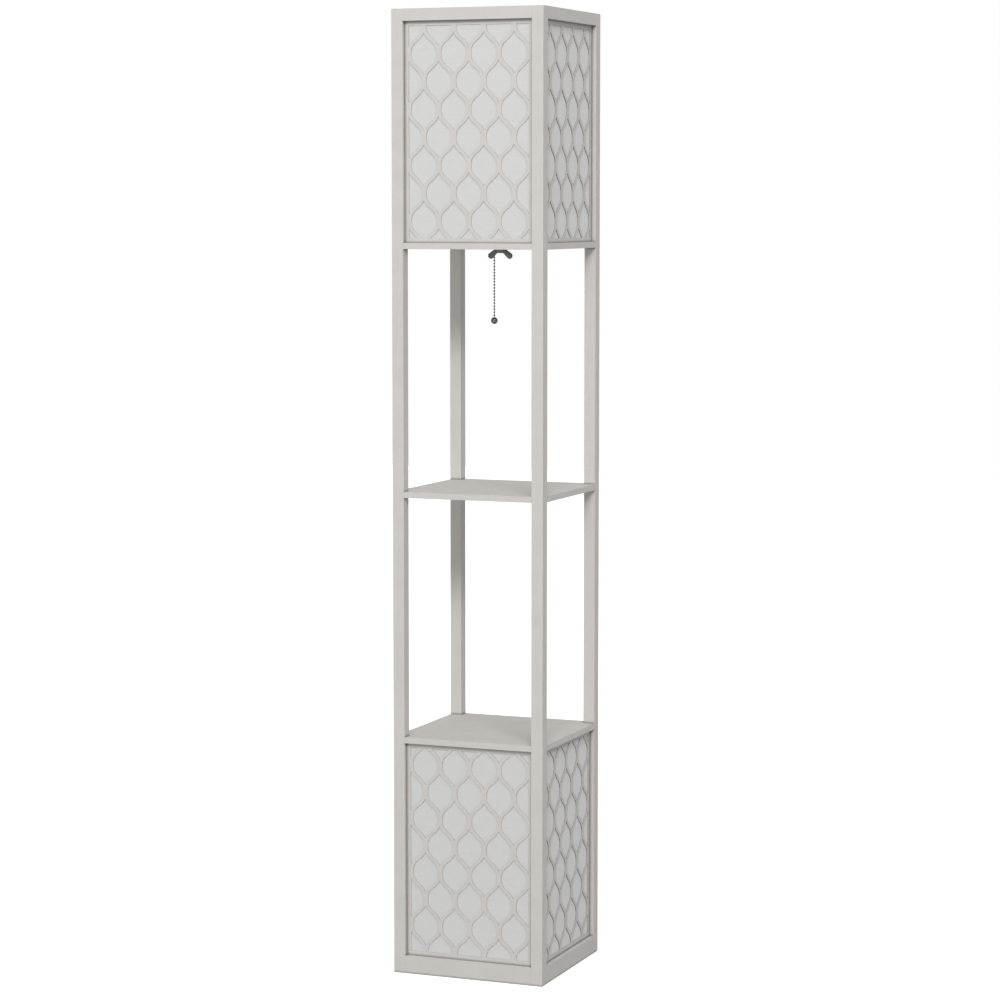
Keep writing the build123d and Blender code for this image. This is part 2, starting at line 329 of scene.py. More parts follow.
def lattice_openings(clear_width, clear_height, sizes, start):
    """The outlines of all openings, its rows counted from the lower or upper edge."""
    cell = cell_outline()
    pitch = clear_width / sizes.cell_columns
    rows = int((clear_height + OGEE_FLANK[-1][1] * MM) // sizes.row_step) + 1
    openings = []
    for row in range(rows):
        y = start * (clear_height / 2 - row * sizes.row_step)
        shift = pitch / 2 if row % 2 else 0
        for column in range(sizes.cell_columns + (0 if row % 2 else 1)):
            x = column * pitch + shift - clear_width / 2
            outline = [p + Vector((x, y)) for p in cell]
            for axis, half in ((0, clear_width / 2), (1, clear_height / 2)):
                outline = clipped(outline, axis, half, 1)
                outline = clipped(outline, axis, -half, -1)
            openings.append(without_repeats(outline))
    return openings


def lattice_mesh(name, width, height, thickness, sizes, start):
    """The cut-out sheet, lying flat about its own middle and facing up."""
    clear_width = width - 2 * (sizes.side_groove + sizes.panel_border)
    clear_height = height - 2 * (sizes.end_groove + sizes.panel_border)
    rim = [Vector((x * width / 2, y * height / 2)) for x, y in ((1, 1), (-1, 1), (-1, -1), (1, -1))]
    drawing = bpy.data.curves.new(name, "CURVE")
    drawing.dimensions = "2D"
    drawing.fill_mode = "BOTH"
    drawing.extrude = thickness / 2 - sizes.lattice_easing
    drawing.bevel_depth = sizes.lattice_easing
    drawing.bevel_resolution = 1
    drawing.offset = -sizes.lattice_easing
    for outline in [rim] + lattice_openings(clear_width, clear_height, sizes, start):
        spline = drawing.splines.new("POLY")
        spline.points.add(len(outline) - 1)
        for point, place in zip(spline.points, outline):
            point.co = (place.x, place.y, 0, 1)
        spline.use_cyclic_u = True
    holder = bpy.data.objects.new(name, drawing)
    bpy.context.scene.collection.objects.link(holder)
    bpy.context.view_layer.update()
    filled = holder.evaluated_get(bpy.context.evaluated_depsgraph_get())
    mesh = bpy.data.meshes.new_from_object(filled)
    bpy.data.objects.remove(holder)
    bpy.data.curves.remove(drawing)
    maker = bmesh.new()
    maker.from_mesh(mesh)
    bmesh.ops.remove_doubles(maker, verts=maker.verts, dist=MM / 200)
    bpy.data.meshes.remove(mesh)
    return finished(maker, name, CRISP_ON_FLAT)


def cast_mesh(name, maker, grain, keep):
    """Fuses overlapping closed shapes into one rounded casting."""
    rough = finished(maker, name + "_rough")
    holder = bpy.data.objects.new(name + "_rough", rough)
    bpy.context.scene.collection.objects.link(holder)
    remesh = holder.modifiers.new("fuse", "REMESH")
    remesh.mode = "VOXEL"
    remesh.voxel_size = grain
    smooth = holder.modifiers.new("smooth", "SMOOTH")
    smooth.iterations = 6
    thin = holder.modifiers.new("thin", "DECIMATE")
    thin.ratio = keep
    bpy.context.view_layer.update()
    shaped = holder.evaluated_get(bpy.context.evaluated_depsgraph_get())
    mesh = bpy.data.meshes.new_from_object(shaped)
    bpy.data.objects.remove(holder)
    bpy.data.meshes.remove(rough)
    mesh.shade_smooth()
    return mesh


# ---- Finishes ----
class Finish:
    """A new material with its shader and a few node shortcuts."""

    def __init__(self, name):
        self.material = bpy.data.materials.new(name)
        self.material.use_nodes = True
        self.tree = self.material.node_tree
        self.shader = self.tree.nodes["Principled BSDF"]
        self.coordinates = self.node("ShaderNodeTexCoord").outputs["Object"]

    def node(self, kind):
        """Adds a node."""
        return self.tree.nodes.new(kind)

    def link(self, output, socket):
        """Joins two sockets."""
        self.tree.links.new(output, socket)

    def set(self, **values):
        """Sets plain values on the shader's own sockets."""
        for name, value in values.items():
            self.shader.inputs[name.replace("_", " ")].default_value = value

    def noise(self, scale, detail=3.0, stretch=(1, 1, 1), distortion=0.0):
        """A noise pattern, with features of about 1 / scale metres."""
        mapping = self.node("ShaderNodeMapping")
        mapping.inputs["Scale"].default_value = stretch
        self.link(self.coordinates, mapping.inputs["Vector"])
        noise = self.node("ShaderNodeTexNoise")
        noise.inputs["Scale"].default_value = scale
        noise.inputs["Detail"].default_value = detail
        noise.inputs["Distortion"].default_value = distortion
        self.link(mapping.outputs["Vector"], noise.inputs["Vector"])
        return noise.outputs["Fac"]

    def threads(self, direction, pitch, wander):
        """Evenly spaced threads across one axis."""
        wave = self.node("ShaderNodeTexWave")
        wave.wave_type = "BANDS"
        wave.bands_direction = direction
        wave.inputs["Scale"].default_value = 2 * math.pi / (20 * pitch)
        wave.inputs["Distortion"].default_value = wander
        wave.inputs["Detail"].default_value = 1.0
        self.link(self.coordinates, wave.inputs["Vector"])
        return wave.outputs["Fac"]

    def combined(self, first, second, operation="ADD"):
        """Two values put together."""
        maths = self.node("ShaderNodeMath")
        maths.operation = operation
        for socket, value in zip(maths.inputs, (first, second)):
            if isinstance(value, (int, float)):
                socket.default_value = value
            else:
                self.link(value, socket)
        return maths.outputs[0]

    def spread(self, value, low, high):
        """A pattern's value carried to a new range."""
        reach = self.node("ShaderNodeMapRange")
        reach.inputs["From Min"].default_value = 0.3
        reach.inputs["From Max"].default_value = 0.7
        reach.inputs["To Min"].default_value = low
        reach.inputs["To Max"].default_value = high
        self.link(value, reach.inputs["Value"])
        return reach.outputs["Result"]

    def tint(self, value, base, dark, light):
        """Colours the surface between a darker and a lighter shade of its colour."""
        ramp = self.node("ShaderNodeValToRGB")
        ramp.color_ramp.elements[0].position = 0.3
        ramp.color_ramp.elements[1].position = 0.7
        ramp.color_ramp.elements[0].color = (*[c * dark for c in base], 1)
        ramp.color_ramp.elements[1].color = (*[min(c * light, 1) for c in base], 1)
        self.link(value, ramp.inputs["Fac"])
        self.link(ramp.outputs["Color"], self.shader.inputs["Base Color"])
        return ramp.outputs["Color"]

    def paint_corner_shade(self, colour, reach, darkest):
        """Darkens the colour towards inner corners and recesses, as painted shade."""
        corners = self.node("ShaderNodeAmbientOcclusion")
        corners.samples = 8
        corners.inputs["Distance"].default_value = reach
        share = self.node("ShaderNodeMapRange")
        share.inputs["From Min"].default_value = 0.5
        share.inputs["From Max"].default_value = 0.95
        share.inputs["To Min"].default_value = darkest
        self.link(corners.outputs["AO"], share.inputs["Value"])
        shade = self.node("ShaderNodeVectorMath")
        shade.operation = "SCALE"
        self.link(colour, shade.inputs[0])
        self.link(share.outputs["Result"], shade.inputs["Scale"])
        self.link(shade.outputs["Vector"], self.shader.inputs["Base Color"])

    def bump(self, height, strength, distance):
        """Raises the surface by a pattern."""
        bump = self.node("ShaderNodeBump")
        bump.inputs["Strength"].default_value = strength
        bump.inputs["Distance"].default_value = distance
        self.link(height, bump.inputs["Height"])
        self.link(bump.outputs["Normal"], self.shader.inputs["Normal"])

    def roughness(self, value, low, high):
        """Varies the roughness by a pattern."""
        self.link(self.spread(value, low, high), self.shader.inputs["Roughness"])


def painted(name, base, speck):
    """Sprayed matt paint on fine board, with a faint orange peel and painted shade in its inner
    corners.
    """
    finish = Finish(name)
    clouds = finish.noise(26, 4.0)
    # Painted shade: the colour darkens within 5 mm of inner corners and recesses.
    finish.paint_corner_shade(finish.tint(clouds, base, 0.975, 1.02), 5 * MM, 0.4)
    finish.roughness(finish.noise(90, 3.0), 0.62, 0.72)
    finish.set(Specular_IOR_Level=0.3)
    fine = finish.noise(speck, 2.0)
    coarse = finish.combined(finish.noise(320, 2.0), 0.6, "MULTIPLY")
    finish.bump(finish.combined(fine, coarse), 0.12, 0.00025)
    return finish.material


def woven(name, base):
    """A plain weave with level slubs, bonded to the lining sheet."""
    finish = Finish(name)
    slubs = finish.noise(14, 5.0, (1.6, 1.6, 34.0), 0.3)
    fleck = finish.noise(60, 3.0, (1.0, 1.0, 11.0))
    mixed = finish.combined(
        finish.combined(slubs, 0.62, "MULTIPLY"), finish.combined(fleck, 0.38, "MULTIPLY")
    )
    finish.tint(mixed, base, 0.965, 1.02)
    level = finish.threads("Z", 0.00085, 1.2)
    upright = finish.combined(
        finish.threads("X", 0.00095, 1.2), finish.threads("Y", 0.00095, 1.2), "MAXIMUM"
    )
    weave = finish.combined(level, upright)
    finish.bump(finish.combined(weave, finish.combined(mixed, 2.2, "MULTIPLY")), 0.12, 0.0003)
    finish.set(Roughness=0.9, Specular_IOR_Level=0.4, Sheen_Weight=0.8, Sheen_Roughness=0.5)
    return finish.material


def metal(name, base, shine, grain=240, metallic=1.0):
    """Plated or cast metal with a fine grain and slight stains."""
    finish = Finish(name)
    finish.tint(finish.noise(110, 4.0), base, 0.86, 1.1)
    finish.roughness(finish.noise(grain, 3.0), shine, shine + 0.14)
    finish.bump(finish.noise(grain * 6, 2.0), 0.08, 0.0001)
    finish.set(Metallic=metallic)
    return finish.material


def moulded(name, base, rough):
    """Moulded plastic or resin with a fine spark-eroded grain."""
    finish = Finish(name)
    finish.tint(finish.noise(70, 3.0), base, 0.94, 1.05)
    finish.roughness(finish.noise(400, 2.0), rough, rough + 0.12)
    finish.bump(finish.noise(1800, 2.0), 0.1, 0.00012)
    return finish.material


def frosted(name, base):
    """Soft white bulb glass, glossy outside and cloudy within."""
    finish = Finish(name)
    finish.tint(finish.noise(40, 2.0), base, 0.985, 1.0)
    finish.roughness(finish.noise(60, 2.0), 0.2, 0.28)
    finish.set(Coat_Weight=0.6, Coat_Roughness=0.05, Subsurface_Weight=0.15)
    finish.set(Subsurface_Radius=(0.004, 0.004, 0.004))
    return finish.material


def finish_named(name):
    """One of the lamp's finishes, made when it is first asked for."""
    title = "finish_" + name
    if title in bpy.data.materials:
        return bpy.data.materials[title]
    tones = bpy.context.scene.shelf_lamp_colours
    makers = {
        "frame_paint": lambda: painted(title, tones.paint, 1500),
        "lattice_paint": lambda: painted(title, tones.lattice, 1900),
        "cut_edge_shade": lambda: painted(title, tones.cut_edge_shade, 1900),
        "lining_weave": lambda: woven(title, tones.lining),
        "dark_metal": lambda: metal(title, tones.dark_metal, 0.42, metallic=0.85),
        "chain_metal": lambda: metal(title, tones.chain, 0.3, 500),
        "stem_steel": lambda: metal(title, tones.steel, 0.32),
        "socket_brass": lambda: metal(title, tones.brass, 0.26),
        "socket_core": lambda: moulded(title, tones.core, 0.4),
        "tinned_metal": lambda: metal(title, tones.tin, 0.3),
        "bulb_glass": lambda: frosted(title, tones.glass),
        "bush_plastic": lambda: moulded(title, tones.bush, 0.45),
    }
    return makers[name]()


def add_piece(name, mesh, finish, slot, body, *nodes):
    """Shows a mesh as a piece of the lamp in place of its solids."""
    mesh.materials.clear()
    mesh.materials.append(finish_named(finish))
    piece = bpy.data.objects.new(name, mesh)
    bpy.context.scene.collection.objects.link(piece)
    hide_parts(*nodes)
    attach(piece, body)
    return piece


def dress_node(node, finish):
    """Gives a solid that stays shown its finish."""
    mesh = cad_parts[node].data
    mesh.materials.clear()
    mesh.materials.append(finish_named(finish))


def axis_of(node):
    """The upright axis through a node's middle."""
    low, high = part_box(node)
    return ((low.x + high.x) / 2, (low.y + high.y) / 2)


# ---- Operators ----
class SHELFLAMP_OT_posts(bpy.types.Operator):
    """Builds the four full-height posts with eased edges"""

    bl_idname = "shelf_lamp.posts"
    bl_label = "Posts"

    def execute(self, context):
        ease = context.scene.shelf_lamp_sizes.edge_easing
        for corner in CORNERS:
            node = corner + "_post"
            mesh = eased_bar("sawn_" + node, *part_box(node), ease, True)
            add_piece("sawn_" + node, mesh, "frame_paint", "frame_paint", "lamp", node)
        return {"FINISHED"}


class SHELFLAMP_OT_rails(bpy.types.Operator):
    """Builds the bottom and top rails between the posts"""

    bl_idname = "shelf_lamp.rails"
    bl_label = "Rails"

    def execute(self, context):
        ease = context.scene.shelf_lamp_sizes.edge_easing
        post_low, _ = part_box("front_right_post")
        inner = post_low.x
        for index, side in enumerate(SIDES):
            across = index % 2
            for level in ("bottom", "top"):
                node = f"{side}_{level}_rail"
                low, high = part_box(node)
                low[across] = -inner
                high[across] = inner
                mesh = eased_bar("sawn_" + node, low, high, ease, False)
                add_piece("sawn_" + node, mesh, "frame_paint", "frame_paint", "lamp", node)
        return {"FINISHED"}


class SHELFLAMP_OT_boards(bpy.types.Operator):
    """Builds the boards that are let in round the posts, and paints the base board"""

    bl_idname = "shelf_lamp.boards"
    bl_label = "Boards"

    def execute(self, context):
        ease = context.scene.shelf_lamp_sizes.edge_easing
        post_low, post_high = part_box("front_right_post")
        notch = post_high.x - post_low.x
        for node in ("lower_shelf", "middle_shelf", "lamp_board"):
            mesh = eased_board("sawn_" + node, *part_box(node), notch, ease)
            add_piece("sawn_" + node, mesh, "frame_paint", "frame_paint", "lamp", node)
        dress_node("base_board", "frame_paint")
        return {"FINISHED"}


class SHELFLAMP_OT_lattices(bpy.types.Operator):
    """Builds the eight cut-out lattices with smooth ogee openings and painted shade on their
    downward cut walls
    """

    bl_idname = "shelf_lamp.lattices"
    bl_label = "Lattices"

    def execute(self, context):
        sizes = context.scene.shelf_lamp_sizes
        for box, start in (("lower", -1), ("upper", 1)):
            low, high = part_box(f"front_{box}_lattice")
            size = high - low
            middle = (high + low) / 2
            sheet = lattice_mesh("lattice", size.x, size.z, size.y, sizes, start)
            stand = Matrix.Translation(middle) @ Matrix.Rotation(math.pi / 2, 4, "X")
            for index, side in enumerate(SIDES):
                node = f"{side}_{box}_lattice"
                mesh = sheet.copy()
                mesh.name = "cut_" + node
                mesh.transform(Matrix.Rotation(math.pi / 2 * index, 4, "Z") @ stand)
                add_piece("cut_" + node, mesh, "lattice_paint", "lattice_paint", "lamp", node)
                mesh.materials.append(finish_named("cut_edge_shade"))
                depth = 1 - index % 2  # the axis across the sheet
                # Downward-facing cut walls take the darker finish: painted shade under the strips.
                for face in mesh.polygons:
                    is_cut = abs(face.normal[depth]) < 0.8
                    face.material_index = int(is_cut and face.normal.z < -0.15)
        return {"FINISHED"}


class SHELFLAMP_OT_linings(bpy.types.Operator):
    """Gives the lining sheets behind the lattices their woven facing"""

    bl_idname = "shelf_lamp.linings"
    bl_label = "Linings"

    def execute(self, context):
        for box in ("lower", "upper"):
            for side in SIDES:
                dress_node(f"{side}_{box}_lining", "lining_weave")
        return {"FINISHED"}


class SHELFLAMP_OT_wing_nut(bpy.types.Operator):
    """Builds the cast wing nut, its washers and the threaded stem"""

    bl_idname = "shelf_lamp.wing_nut"
    bl_label = "Wing nut and stem"

    def execute(self, context):
        _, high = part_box("wing_nut")
        x, y = axis_of("wing_nut")
        stem_low, stem_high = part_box("stem")
        hub_floor = stem_low.z - 1.0 * MM
        maker = bmesh.new()
        hub = [
            (4.9 * MM, hub_floor + 0.6 * MM),
            (6.9 * MM, hub_floor + 0.2 * MM),
            (8.1 * MM, high.z - 2.2 * MM),
            (8.6 * MM, high.z),
            (4.9 * MM, high.z),
        ]
        add_turned(maker, softened(hub, 0.7 * MM, True), 48, True, (x, y))
        for side in (-1, 1):
            spots = []
            for reach, drop, radius, half in (
                (7.4, 3.6, 3.7, 2.6),
                (12.2, 7.0, 3.9, 2.1),
                (16.8, 11.6, 5.1, 1.7),
            ):
                layers = ((-half, 0.86), (half, 0.86), (-half * 0.5, 1), (half * 0.5, 1))
                for step in range(24):
                    turn = 2 * math.pi * step / 24
                    for thick, share in layers:
                        spots.append(
                            (
                                x + (side * reach + share * radius * math.cos(turn)) * MM,
                                y + thick * MM,
                                high.z + (-drop + share * radius * math.sin(turn)) * MM,
                            )
                        )
            wing = bmesh.new()
            hull = bmesh.ops.convex_hull(wing, input=[wing.verts.new(spot) for spot in spots])
            loose = [part for part in hull["geom_interior"] if isinstance(part, bmesh.types.BMVert)]
            bmesh.ops.delete(wing, geom=loose, context="VERTS")
            shape = bpy.data.meshes.new("wing")
            wing.to_mesh(shape)
            wing.free()
            maker.from_mesh(shape)
            bpy.data.meshes.remove(shape)
        mesh = cast_mesh("cast_wing_nut", maker, 0.28 * MM, 0.3)
        add_piece("cast_wing_nut", mesh, "dark_metal", "dark_metal", "lamp", "wing_nut")

        disc_low, disc_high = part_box("stem_washers")
        thick, bore, rim = 1.2 * MM, 5.1 * MM, 10.5 * MM
        maker = bmesh.new()
        for floor in (disc_low.z, disc_high.z - thick):
            ring = [(bore, floor), (rim, floor), (rim, floor + thick), (bore, floor + thick)]
            add_turned(maker, softened(ring, 0.25 * MM, True), 56, True, (x, y))
        mesh = finished(maker, "pressed_washers")
        add_piece("pressed_washers", mesh, "dark_metal", "dark_metal", "lamp", "stem_washers")

        bore, end = 3.6 * MM, 4.5 * MM
        rod = [(bore, stem_high.z), (bore, stem_low.z), (end, stem_low.z)]
        turn_count = int((stem_high.z - stem_low.z) // MM)
        for turn in range(turn_count):
            rod.append((4.95 * MM, stem_low.z + (turn + 0.5) * MM))
            rod.append((4.55 * MM, stem_low.z + (turn + 0.98) * MM))
        rod.append((end, stem_high.z))
        mesh = turned("threaded_stem", rod, 36, True, (x, y))
        add_piece("threaded_stem", mesh, "stem_steel", "stem_steel", "lamp", "stem")
        dress_node("stem_nut", "dark_metal")
        return {"FINISHED"}


class SHELFLAMP_OT_lampholder(bpy.types.Operator):
    """Builds the pull-chain lampholder and its screw shell"""

    bl_idname = "shelf_lamp.lampholder"
    bl_label = "Lampholder"

    def execute(self, context):
        x, y = axis_of("socket_shell")
        low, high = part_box("socket_cap")
        cap = [
            (5.1 * MM, low.z),
            (8.0 * MM, low.z),
            (8.0 * MM, low.z + 4.4 * MM),
            (11.5 * MM, low.z + 6.6 * MM),
            (16.2 * MM, high.z - 4.6 * MM),
            (17.0 * MM, high.z - 3.0 * MM),
            (17.0 * MM, high.z),
            (16.1 * MM, high.z),
            (16.1 * MM, high.z - 3.4 * MM),
            (10.6 * MM, low.z + 7.4 * MM),
            (5.1 * MM, low.z + 5.2 * MM),
        ]
        mesh = turned("spun_cap", softened(cap, 0.8 * MM, True), 56, True, (x, y))
        add_piece("spun_cap", mesh, "socket_brass", "socket_brass", "lamp", "socket_cap")

        low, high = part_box("socket_shell")
        bore, valley, crown = 16.1 * MM, 16.6 * MM, 17.0 * MM
        shell = [(bore, high.z), (bore, low.z), (16.9 * MM, low.z)]
        for ridge in (2.2, 4.4, 30.6, 33.0):
            height = low.z + ridge * MM
            shell += [(valley, height - 0.8 * MM), (crown, height), (valley, height + 0.8 * MM)]
        shell += [(valley, high.z - 1.8 * MM), (crown, high.z - 0.9 * MM), (16.8 * MM, high.z)]
        mesh = turned("spun_shell", softened(shell, 0.3 * MM, True), 56, True, (x, y))
        add_piece("spun_shell", mesh, "socket_brass", "socket_brass", "lamp", "socket_shell")
        dress_node("socket_core", "socket_core")

        low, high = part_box("screw_shell")
        root, crown, bore = 13.9 * MM, 14.35 * MM, 13.55 * MM
        outer = []
        crests = 5
        for crest in range(crests):
            height = low.z + (crest + 0.5) * (high.z - low.z) / crests
            outer += [(root, height - 1.2 * MM), (crown, height), (root, height + 1.2 * MM)]
        inner = [(radius - 0.35 * MM, height) for radius, height in reversed(outer)]
        rings = [(root, low.z)] + outer + [(root, high.z), (bore, high.z)]
        rings += inner + [(bore, low.z)]
        name = "rolled_screw_shell"
        mesh = turned(name, rings, 48, True, (x, y))
        add_piece(name, mesh, "tinned_metal", "screw_shell_metal", "lamp", "screw_shell")

        low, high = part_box("chain_guide")
        chain_x, chain_y = axis_of("chain_inside")
        maker = bmesh.new()
        mouth = [
            (2.7 * MM, high.z - 2.2 * MM),
            (2.7 * MM, low.z + 2.6 * MM),
            (5.0 * MM, low.z + 0.2 * MM),
            (5.9 * MM, low.z + 0.1 * MM),
            (4.3 * MM, low.z + 4.2 * MM),
            (4.1 * MM, high.z - 0.6 * MM),
            (0.0, high.z - 0.1 * MM),
        ]
        bore = [(0.0, high.z - 2.0 * MM)]
        add_turned(maker, bore + softened(mouth, 0.5 * MM), 40, False, (chain_x, chain_y))
        arm_half = 3.3 * MM
        arm_low = (x - arm_half, chain_y, high.z - 6.9 * MM)
        arm_high = (x + arm_half, y - 15.5 * MM, high.z - 0.1 * MM)
        arm = eased_bar("guide_arm", arm_low, arm_high, 0.9 * MM, True)
        maker.from_mesh(arm)
        bpy.data.meshes.remove(arm)
        mesh = cast_mesh("cast_chain_guide", maker, 0.25 * MM, 0.3)
        add_piece("cast_chain_guide", mesh, "socket_brass", "socket_brass", "lamp", "chain_guide")
        return {"FINISHED"}


class SHELFLAMP_OT_bulb(bpy.types.Operator):
    """Builds the bulb with its rolled thread and pear-shaped glass"""

    bl_idname = "shelf_lamp.bulb"
    bl_label = "Bulb"

    def execute(self, context):
        x, y = axis_of("bulb_base")
        low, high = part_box("bulb_base")
        base = [
            (0.0, low.z),
            (4.5 * MM, low.z),
            (4.6 * MM, low.z + 1.2 * MM),
            (9.5 * MM, low.z + 3.2 * MM),
        ]
        for crest in range(4):
            height = low.z + (5.4 + 3.6 * crest) * MM
            base += [
                (12.3 * MM, height - 1.6 * MM),
                (13.1 * MM, height),
                (12.5 * MM, height + 1.6 * MM),
            ]
        base += [(12.6 * MM, high.z - 2.0 * MM), (13.2 * MM, high.z), (0.0, high.z)]
        mesh = turned("rolled_bulb_base", softened(base, 0.5 * MM), 48, False, (x, y))
        add_piece("rolled_bulb_base", mesh, "tinned_metal", "bulb_base_metal", "lamp", "bulb_base")

        low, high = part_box("bulb_glass")
        radius = 30.0 * MM
        middle = high.z - radius
        glass = [
            (0.0, low.z),
            (13.4 * MM, low.z),
            (14.0 * MM, low.z + 1.5 * MM),
            (14.2 * MM, low.z + 6.0 * MM),
            (15.8 * MM, low.z + 13.0 * MM),
            (19.6 * MM, low.z + 21.5 * MM),
        ]
        arcs = 14
        for step in range(arcs + 1):
            turn = math.radians(-42 + step * 132 / arcs)
            glass.append((radius * math.cos(turn), middle + radius * math.sin(turn)))
        glass[-1] = (0.0, high.z)
        mesh = turned("blown_bulb_glass", softened(glass, 2.0 * MM), 64, False, (x, y))
        mesh.set_sharp_from_angle(angle=math.radians(60))
        add_piece("blown_bulb_glass", mesh, "bulb_glass", "bulb_glass", "lamp", "bulb_glass")
        return {"FINISHED"}


def bead_run(first, last, sizes, start, end):
    """The profile of a bead chain, from its first bead's middle to its last one's."""
    radius, link = sizes.bead_radius, sizes.link_radius
    tuck = math.asin(link / radius)
    count = round((last - first) / sizes.bead_pitch) + 1
    run = [(0.0, start), (link, start)]
    arcs = 8
    for bead in range(count):
        middle = first + bead * sizes.bead_pitch
        for step in range(arcs + 1):
            turn = -math.pi / 2 + tuck + step * (math.pi - 2 * tuck) / arcs
            run.append((radius * math.cos(turn), middle + radius * math.sin(turn)))
    return run + [(link, end), (0.0, end)]


class SHELFLAMP_OT_chain(bpy.types.Operator):
    """Builds the bead chain, its inside end and its ball"""

    bl_idname = "shelf_lamp.chain"
    bl_label = "Pull chain"

    def execute(self, context):
        sizes = context.scene.shelf_lamp_sizes
        x, y = axis_of("chain_hanging")
        low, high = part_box("chain_hanging")
        pivot = high.z + sizes.bead_radius + 0.5 * MM
        first = low.z + (pivot - sizes.bead_pitch - low.z) % sizes.bead_pitch
        run = bead_run(first, pivot - sizes.bead_pitch, sizes, low.z, high.z)
        name = "hanging_bead_chain"
        mesh = turned(name, run, 14, False, (x, y))
        add_piece(name, mesh, "chain_metal", "dark_metal", "chain_drop", "chain_hanging")

        low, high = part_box("chain_inside")
        count = int((high.z - 2.0 * MM - pivot) // sizes.bead_pitch)
        top = pivot + (count - 1) * sizes.bead_pitch
        run = bead_run(pivot, top, sizes, low.z, high.z - 2.0 * MM)[:-1]
        plunger = [(2.4 * MM, high.z - 2.0 * MM), (2.4 * MM, high.z), (0.0, high.z)]
        name = "inside_bead_chain"
        mesh = turned(name, run + softened(plunger, 0.3 * MM), 14, False, (x, y))
        add_piece(name, mesh, "chain_metal", "dark_metal", "chain_pull", "chain_inside")

        low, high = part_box("chain_ball")
        radius = (high.x - low.x) / 2
        middle = (low.z + high.z) / 2
        ball = []
        arcs = 18
        for step in range(arcs + 1):
            turn = math.radians(-90 + step * 155 / arcs)
            ball.append((radius * math.cos(turn), middle + radius * math.sin(turn)))
        ball[0] = (0.0, middle - radius)
        collar = 1.9 * MM
        ball += [(collar, high.z - 0.9 * MM), (collar, high.z - 0.1 * MM)]
        ball += [(0.6 * MM, high.z), (0.0, high.z)]
        mesh = turned("turned_ball", ball, 36, False, (x, y))
        add_piece("turned_ball", mesh, "chain_metal", "dark_metal", "chain_drop", "chain_ball")
        return {"FINISHED"}


class SHELFLAMP_OT_bush(bpy.types.Operator):
    """Builds the outlet bush in the lamp board"""

    bl_idname = "shelf_lamp.bush"
    bl_label = "Outlet bush"

    def execute(self, context):
        low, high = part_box("cord_bush")
        x, y = axis_of("cord_bush")
        ring = [
            (3.5 * MM, low.z),
            (5.0 * MM, low.z),
            (5.0 * MM, high.z - 1.5 * MM),
            (7.5 * MM, high.z - 1.5 * MM),
            (7.4 * MM, high.z - 0.5 * MM),
            (6.2 * MM, high.z),
            (3.5 * MM, high.z),
        ]
        mesh = turned("moulded_bush", softened(ring, 0.4 * MM, True), 40, True, (x, y))
        add_piece("moulded_bush", mesh, "bush_plastic", "bush_plastic", "lamp", "cord_bush")
        return {"FINISHED"}


def seen_directly(tree):
    """A value that is 1 for rays from the camera, a mirror or clear glass."""
    path = tree.nodes.new("ShaderNodeLightPath")
    total = path.outputs["Is Camera Ray"]
    for name in ("Is Glossy Ray", "Is Transmission Ray"):
        either = tree.nodes.new("ShaderNodeMath")
        either.operation = "MAXIMUM"
        tree.links.new(total, either.inputs[0])
        tree.links.new(path.outputs[name], either.inputs[1])
        total = either.outputs[0]
    return total


